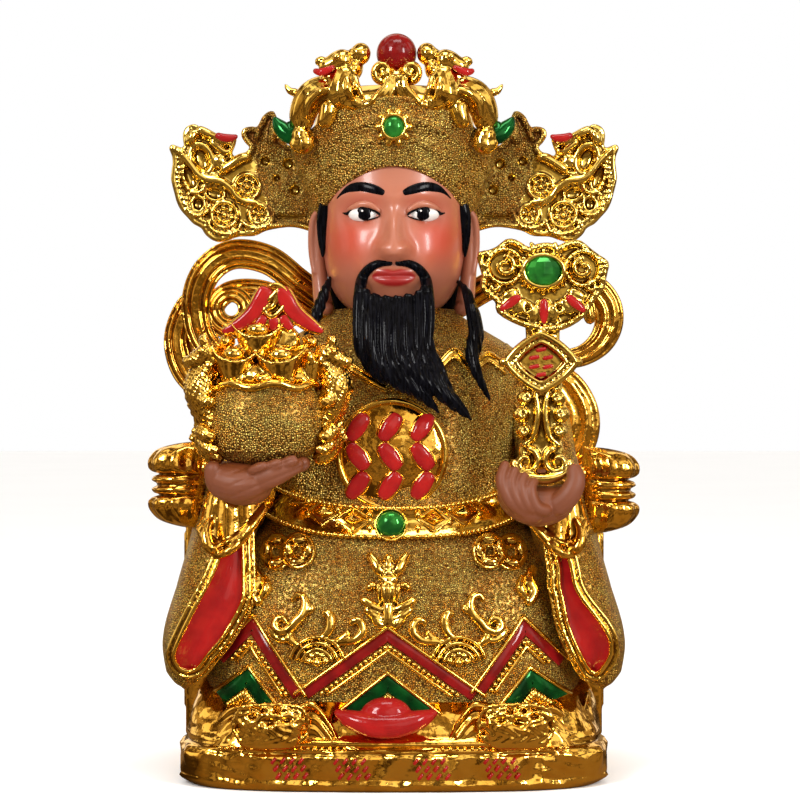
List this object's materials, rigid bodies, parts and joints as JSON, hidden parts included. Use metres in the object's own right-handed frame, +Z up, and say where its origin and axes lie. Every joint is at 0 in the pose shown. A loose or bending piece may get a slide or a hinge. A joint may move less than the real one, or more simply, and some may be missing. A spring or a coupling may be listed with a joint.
{
  "type": "seated deity figure",
  "caption": "Gold-plated seated god-of-wealth figure on a throne, with a painted face, a winged dragon hat, a treasure bowl and a sceptre.",
  "frame": {"origin": "centre of the plinth's flat underside, where the figure rests", "axes": "+Z up, the figure's front faces -Y, +X is to the right seen from the front"},
  "size_m": [0.266, 0.182, 0.408],
  "materials": {
    "gold_plate": "mirror-bright gold plate over a cast body, with fields of coarse gold grain and painted face, hair, hands and trims",
    "sanded_gold": "coarse gold grain with bright gold ingots and handles"
  },
  "bodies": {
    "root": {"figure": "gold_plate", "treasure_bowl": "sanded_gold", "ruyi_sceptre": "gold_plate", "hat_wing_left": "gold_plate", "hat_wing_right": "gold_plate"}
  },
  "joints": []
}
